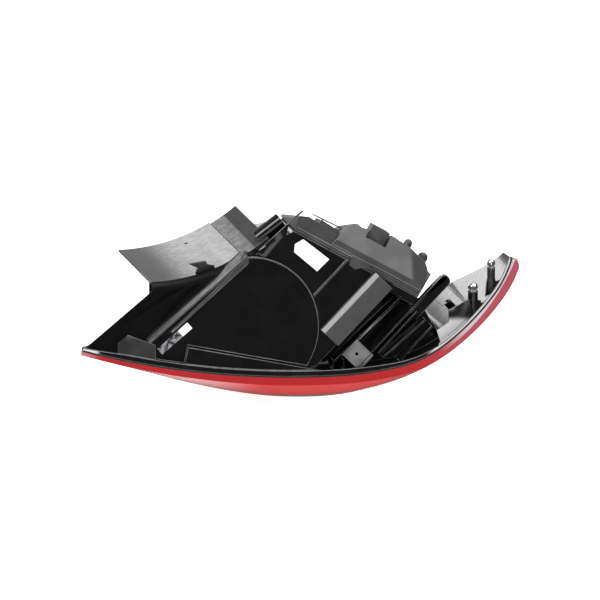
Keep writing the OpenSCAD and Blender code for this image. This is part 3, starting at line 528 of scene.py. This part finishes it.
# %% [markdown]
# ## Dressed copies
# A tool is polished in one place and etched in another, so some faces of a moulding are duller than the
# rest, and some regions carry painted reflections, painted highlights and painted shade in their colour.
# They could be cut off as pieces of their own, but the surface would show the cut. So a copy keeps one
# mesh, and each region is a test that picks its faces by where they are and which way they look.

# %% Dress one imported node
NO_CHANGE = -1


def number_faces(shape, regions):
    """Gives the faces of each region the number of its material; the base finish has number 0."""
    for face in shape.faces:
        face.smooth = True
        middle = face.calc_center_median() / MM
        for number, (test, _) in enumerate(regions, start=1):
            if test(middle, face.normal):
                face.material_index = number


def paint(piece, *finishes):
    """Sets the materials in order; clearing an empty list would lose the faces' own numbers."""
    if piece.data.materials:
        piece.data.materials.clear()
    for finish in finishes:
        piece.data.materials.append(finish)


def dressed(node, piece_name, finish, edge=0.0, segments=2, regions=(), painted_highlight=None):
    """Shows a copy of a node, with smooth curves, rounded long edges and its finishes.

    Each region is a test on a face's middle, in millimetres, and its normal, with the finish of the
    faces that pass. The rounded edges take the painted highlight finish, or that of their neighbours
    without one.
    """
    shape = joined(node)
    number_faces(shape, regions)
    count = weigh_edges(shape, rounded=edge > 0)
    skin = bpy.data.meshes.new(piece_name)
    shape.to_mesh(skin)
    shape.free()
    piece = bpy.data.objects.new(piece_name, skin)
    bpy.context.scene.collection.objects.link(piece)
    finishes = [finish] + [other for _, other in regions]
    if edge:
        round_edges(piece, edge, segments, len(finishes) if painted_highlight else NO_CHANGE)
    if painted_highlight:
        finishes.append(painted_highlight)
    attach(piece, "root")
    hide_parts(node)
    paint(piece, *finishes)
    print(f"{piece_name}: {len(skin.polygons)} faces, {count} rounded edges, finishes {len(finishes)}")


# %% [markdown]
# ### Faces that have their own finish
# The tests below name the faces as the drawing places them: x runs along the lamp, z is up, and minus y
# is the side of the photograph. Each limit is a value in millimetres, or the least share by which a face
# looks one way. Every cell counts the triangles that its tests pick, because a test that picks none has
# lost its faces.

# %% The pad and the flange
SQUARE_ON = 0.9
PAD_MIDDLE = Vector((-120, -5, -62))
PAD_REACH = 15
PAD_FRONT = -4
FLANGE_FRONT = -8.3
FLANGE_FACING = 0.7


def on_pad(middle, normal):
    """The paler grey pad round the locating hole."""
    near = (middle - PAD_MIDDLE).length < PAD_REACH
    return near and normal.y < -SQUARE_ON and middle.y < PAD_FRONT


# The flange's finish carries a painted reflection on the arm and a painted highlight at the left tip.
def on_flange(middle, normal):
    """The front of the rim that meets the lens."""
    return normal.y < -FLANGE_FACING and middle.y < FLANGE_FRONT


def tally(node, *tests):
    """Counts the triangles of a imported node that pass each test."""
    faces = [(face.center / MM, face.normal) for face in nodes[node].data.polygons]
    for test in tests:
        print(f"{node}, {test.__name__}: {sum(test(*face) for face in faces)} triangles")


tally("housing", on_pad, on_flange)

# %% The shelf that carries on along the wing
SHELF_UP = 0.75
SHELF_FLOOR = 35
SHELF_FROM = -236.5
SHELF_SPLIT = -222
SHELF_TO = -208


def between(value, limits):
    """Whether a value lies between two limits."""
    return limits[0] < value < limits[1]


def on_shelf(middle, normal):
    """The top of the shelf, near the wing."""
    on_top = normal.z > SHELF_UP and middle.z > SHELF_FLOOR
    return on_top and between(middle.x, (SHELF_FROM, SHELF_SPLIT))


def on_shelf_edge(middle, normal):
    """The top of the shelf, further from the wing, where it is duller."""
    on_top = normal.z > SHELF_UP and middle.z > SHELF_FLOOR
    return on_top and between(middle.x, (SHELF_SPLIT, SHELF_TO))


tally("housing", on_shelf, on_shelf_edge)

# %% The two bars of the strip
STRIP_FOOT = Vector((-336, 0, -36.9))
STRIP_FACING = 0.6
STRIP_FRONT = -0.5
STRIP_DEPTHS = (0, 7.8)
STRIP_ALONG = (-337, -225)
BAR_FRONT = -4
BAR_DEPTHS = (8, 15.5)
BAR_ALONG = (-320, -225)


def below_strip(middle):
    """How far a point lies below the strip's upper edge, in millimetres."""
    offset = middle - STRIP_FOOT
    return offset.x * math.sin(EDGE_ANGLE) - offset.z * math.cos(EDGE_ANGLE)


# Both bars take a grey finish that is a painted reflection.
def on_strip(middle, normal):
    """The upper bar, with its bevelled side."""
    on_upper = between(below_strip(middle), STRIP_DEPTHS) and between(middle.x, STRIP_ALONG)
    return on_upper and normal.y < -STRIP_FACING and middle.y < STRIP_FRONT


def on_bar(middle, normal):
    """The second bar, which closes in on the first towards the top."""
    on_second = between(below_strip(middle), BAR_DEPTHS) and between(middle.x, BAR_ALONG)
    return on_second and normal.y < -SQUARE_ON and middle.y < BAR_FRONT


tally("housing", on_strip, on_bar)

# %% The small wall before the cheek, and the web of the arm
TAB_ALONG = (-366, -327)
TAB_FRONTS = (-8.2, -7.4)
ARM_FROM = -38
WEB_TOP = -15
WEB_FRONTS = (-3, -1.4)
WALL_TOP = 25
WALL_FRONT = -1
WALL_UP = 0.3
EDGE_ON = 0.2


def on_tab(middle, normal):
    """The front of the small upright wall on the flange."""
    return normal.y < -SQUARE_ON and between(middle.x, TAB_ALONG) and between(middle.y, TAB_FRONTS)


def on_web(middle, normal):
    """The front of the arm's web, and the arm's walls that look up; low down they carry a painted
    reflection.
    """
    on_front = middle.z < WEB_TOP and normal.y < -SQUARE_ON and between(middle.y, WEB_FRONTS)
    looks_up = normal.z > WALL_UP and abs(normal.y) < EDGE_ON
    on_wall = middle.z < WALL_TOP and middle.y < WALL_FRONT and looks_up
    return middle.x > ARM_FROM and (on_front or on_wall)


tally("housing", on_tab, on_web)

# %% The cheek, the carrier's rim and the skirt of the lens
CHEEK_FACING = 0.2
CHEEK_FRONT = 3
RIM_FACING = 0.97
SKIRT_FACING = 0.8


def on_cheek(middle, normal):
    """The part of the side cover that stands in front, below the wing."""
    return normal.y < -CHEEK_FACING or middle.y < CHEEK_FRONT


def on_rim(middle, normal):
    """The faces of the carrier that look straight to the front, which carry painted shade."""
    return normal.y < -RIM_FACING


def on_skirt(middle, normal):
    """The faces of the lens that look to the front."""
    return normal.y < -SKIRT_FACING


tally("side_cover", on_cheek)
tally("bulb_carrier", on_rim)
tally("outer_lens", on_skirt)

# %% [markdown]
# ## Dress the pieces
# Edges get the radius of the real moulding, from 0.7 mm on the housing to 0.25 mm on the studs. One
# radius for all of them would be quicker, but it would soften the small pieces too much.
#
# ### The housing
# The housing is one deep moulding that carries all the rest, and its ribs draw the thin bright lines of
# the photograph. A subdivision surface would round it too, but it would bend the flat walls, so only the
# long edges are bevelled, with three segments because the camera sees most of them.

# %% The housing
# The paler finish on the rounded edges is a painted highlight along the bright lines of the ribs.
dressed(
    "housing", "housing_moulding", black_gloss, edge=0.7, segments=3, painted_highlight=black_edge_highlight,
    regions=(
        (on_pad, pad_grey), (on_shelf, shelf_satin), (on_strip, bar_painted_reflection), (on_bar, bar_painted_reflection),
        (on_flange, rim_gloss_painted_light), (on_tab, trim_black), (on_shelf_edge, shelf_dull), (on_web, web_gloss_painted_reflection)))

# %% [markdown]
# ### The side cover, the bulb carrier and the small mouldings
# The cover is one moulding with a satin wing and a dark cheek, and a clip holds it. The carrier is a
# matte lid that lifts out with both bulbs, and a strap keeps it down; its faces that look straight to the
# front are darker with painted shade. Each could be smoothed by hand, but the same function does them all,
# with a radius that suits the thickness of each.

# %% The side cover, the bulb carrier and the small mouldings
dressed(
    "side_cover", "cover_moulding", wing_satin, edge=0.4, regions=((on_cheek, black_deep),))
# The carrier's front faces take painted shade, and its rounded edges a painted highlight.
dressed(
    "bulb_carrier", "carrier_moulding", carrier_matte, edge=0.55, segments=3,
    painted_highlight=grey_edge_highlight, regions=((on_rim, carrier_front_painted_shade),))
dressed("cover_clip", "clip_moulding", trim_black, edge=0.4)
dressed("carrier_strap", "strap_moulding", trim_black, edge=0.3)
dressed("vent_cap", "vent_moulding", trim_black, edge=0.4)

# %% [markdown]
# ### The lens and what lies behind it
# The lens is a crowned shell that is welded to the flange. It could be shown as it comes packed, but its
# facets would catch the light, so its corners are merged and its curves smoothed. Nothing is rounded
# here: the shell is smooth already, and the reflector and the bulbs hardly show.

# %% The lens, its window and what lies behind them
dressed("outer_lens", "lens_moulding", lens_crown, regions=((on_skirt, lens_skirt),))
dressed("lens_window", "window_moulding", lens_clear)
dressed("reflector", "reflector_moulding", mirror_metal)
dressed("reflex_reflector", "reflex_moulding", reflex_red)
dressed("bulb_glass_left", "glass_left", glass_clear)
dressed("bulb_glass_right", "glass_right", glass_amber)
dressed("bulb_base_left", "base_left", brass_dull)
dressed("bulb_base_right", "base_right", brass_dull)

# %% [markdown]
# ### The studs and the screws
# Two plated studs locate the lamp on the car, and small screws hold the reflector. They could be spun
# again from a profile, but the drawing has their true size, so they only get a fine radius, which gives
# the bright heads their highlight.

# %% The studs and the screws
dressed("stud_lower", "stud_lower_plated", stud_chrome, edge=0.25, segments=3)
dressed("stud_upper", "stud_upper_plated", stud_chrome, edge=0.25, segments=3)
dressed("reflector_screws", "screws_zinc", steel_zinc, edge=0.3)

# %% [markdown]
# ### Pieces that keep their own shape
# The seal, the gasket, the pins, the strips and the labels are flat or thin, and a rounded edge on them
# would be too small to see. They could be copied like the rest, but they only need a finish.

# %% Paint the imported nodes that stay
KEPT = {
    "lens_seal": trim_black,
    "carrier_gasket": foam_black,
    "connector_pins": brass_dull,
    "contact_strips": brass_dull,
    "label_large": film_white,
    "label_small": film_silver,
}
for node, finish in KEPT.items():
    paint(nodes[node], finish)
print("kept as packed:", ", ".join(KEPT))

# %% [markdown]
# ## Studio
# The lamp stands on a white light table, so the floor glows a little and throws hardly any shadow. Lamps
# below a sheet of glass would do the same, with more noise and a longer wait, so the floor's own material
# glows. The floor stays out of the gloss, as a dark card held in front of a product would keep it.

# %% The light table
FLOOR_REACH = 30
FLOOR_WHITE = (0.92, 0.92, 0.92)
FLOOR_GLOW = 0.9
WHITE_LIGHT = (1, 1, 1, 1)

floor_shape = bmesh.new()
bmesh.ops.create_grid(floor_shape, x_segments=1, y_segments=1, size=FLOOR_REACH)
bmesh.ops.translate(floor_shape, verts=floor_shape.verts, vec=(0, 0, cad_low.z))
floor_mesh = bpy.data.meshes.new("floor")
floor_shape.to_mesh(floor_mesh)
floor_shape.free()
floor = bpy.data.objects.new("floor", floor_mesh)
bpy.context.scene.collection.objects.link(floor)
floor_paint, _, floor_shader = start_material("floor paint", FLOOR_WHITE, roughness=0.9)
floor_shader.inputs["Emission Color"].default_value = WHITE_LIGHT
floor_shader.inputs["Emission Strength"].default_value = FLOOR_GLOW
paint(floor, floor_paint)
floor.visible_glossy = False
print("light table at", round(cad_low.z, 4), "m")

# %% [markdown]
# ### The sky and its soft boxes
# Black plastic shows only what it reflects, so the sky shapes it: a dim sky in front, a brighter one
# behind, and soft boxes where a photographer would hang them. Area lamps could do that work, but their
# hard outlines would show in the gloss. So a soft box is a round patch of the sky that fades at its
# edge, made from how closely a direction agrees with the box's own.

# %% Make a patch of the sky
sky = bpy.data.worlds.new("sky")
bpy.context.scene.world = sky
sky.use_nodes = True
sky_tree = sky.node_tree
sky_light = sky_tree.nodes["Background"]
sky_light.inputs["Color"].default_value = WHITE_LIGHT
heading = sky_tree.nodes.new("ShaderNodeTexCoord").outputs["Generated"]


def soft_box(direction, full, edge, power):
    """A round patch of sky: full power within one angle of its middle, none past the other."""
    dot = add_dot(sky_tree, heading, Vector(direction).normalized())
    return add_range(
        sky_tree, dot, 0, power, math.cos(math.radians(edge)), math.cos(math.radians(full)))


print("world:", bpy.context.scene.world.name)

# %% Hang the boxes: direction, full and outer angle in degrees, and power
SKY_DIM = 0.12
BOXES = {
    "behind": ((-0.1, 0.8, 0.6), 26, 60, 0.35),
    "behind_low": ((-0.01, 0.957, 0.29), 3, 9, 2.2),
    "behind_left": ((-0.27, 0.957, 0.12), 5, 10, 2.6),
    "key_left": ((-0.61, -0.49, 0.61), 5, 19, 11.0),
    "overhead": ((0.35, -0.15, 0.92), 10, 32, 6.0),
    "front": ((-0.05, -0.995, 0.05), 5, 13, 2.0),
}
light = None
for box_name, (way, full, edge, power) in BOXES.items():
    patch = soft_box(way, full, edge, power)
    total = sky_tree.nodes.new("ShaderNodeMath")
    total.label = box_name
    total.inputs[0].default_value = SKY_DIM
    if light:
        sky_tree.links.new(light, total.inputs[0])
    sky_tree.links.new(patch, total.inputs[1])
    light = total.outputs["Value"]
sky_tree.links.new(light, sky_light.inputs["Strength"])
print("soft boxes:", ", ".join(BOXES))

# %% [markdown]
# ## Camera
# The photograph was taken from far off, so it is nearly flat. The camera stands twelve degrees to the
# left and twelve degrees up, and a pixel of the picture is a millimetre at the lamp. A camera without
# perspective would come close, but a very long lens keeps the little perspective that a photograph has.

# %% The camera
CAMERA_TURN = math.radians(-12)
CAMERA_RISE = math.radians(12)
PICTURE = 600 * MM
LENS_MM = 1200
SENSOR_MM = 36
SIGHT_END = 100
AIM = Vector((-179, -9, -3.8)) * MM

back = Vector((
    math.sin(CAMERA_TURN) * math.cos(CAMERA_RISE),
    -math.cos(CAMERA_TURN) * math.cos(CAMERA_RISE),
    math.sin(CAMERA_RISE)))
camera_data = bpy.data.cameras.new("camera")
camera_data.lens = LENS_MM
camera_data.sensor_width = SENSOR_MM
camera_data.clip_end = SIGHT_END
camera = bpy.data.objects.new("camera", camera_data)
camera.location = AIM + back * (PICTURE * LENS_MM / SENSOR_MM)
camera.rotation_euler = (-back).to_track_quat("-Z", "Y").to_euler()
bpy.context.scene.collection.objects.link(camera)
bpy.context.scene.camera = camera
bpy.context.scene.view_settings.view_transform = "Standard"
print("camera", round((camera.location - AIM).length, 2), "m from the lamp")
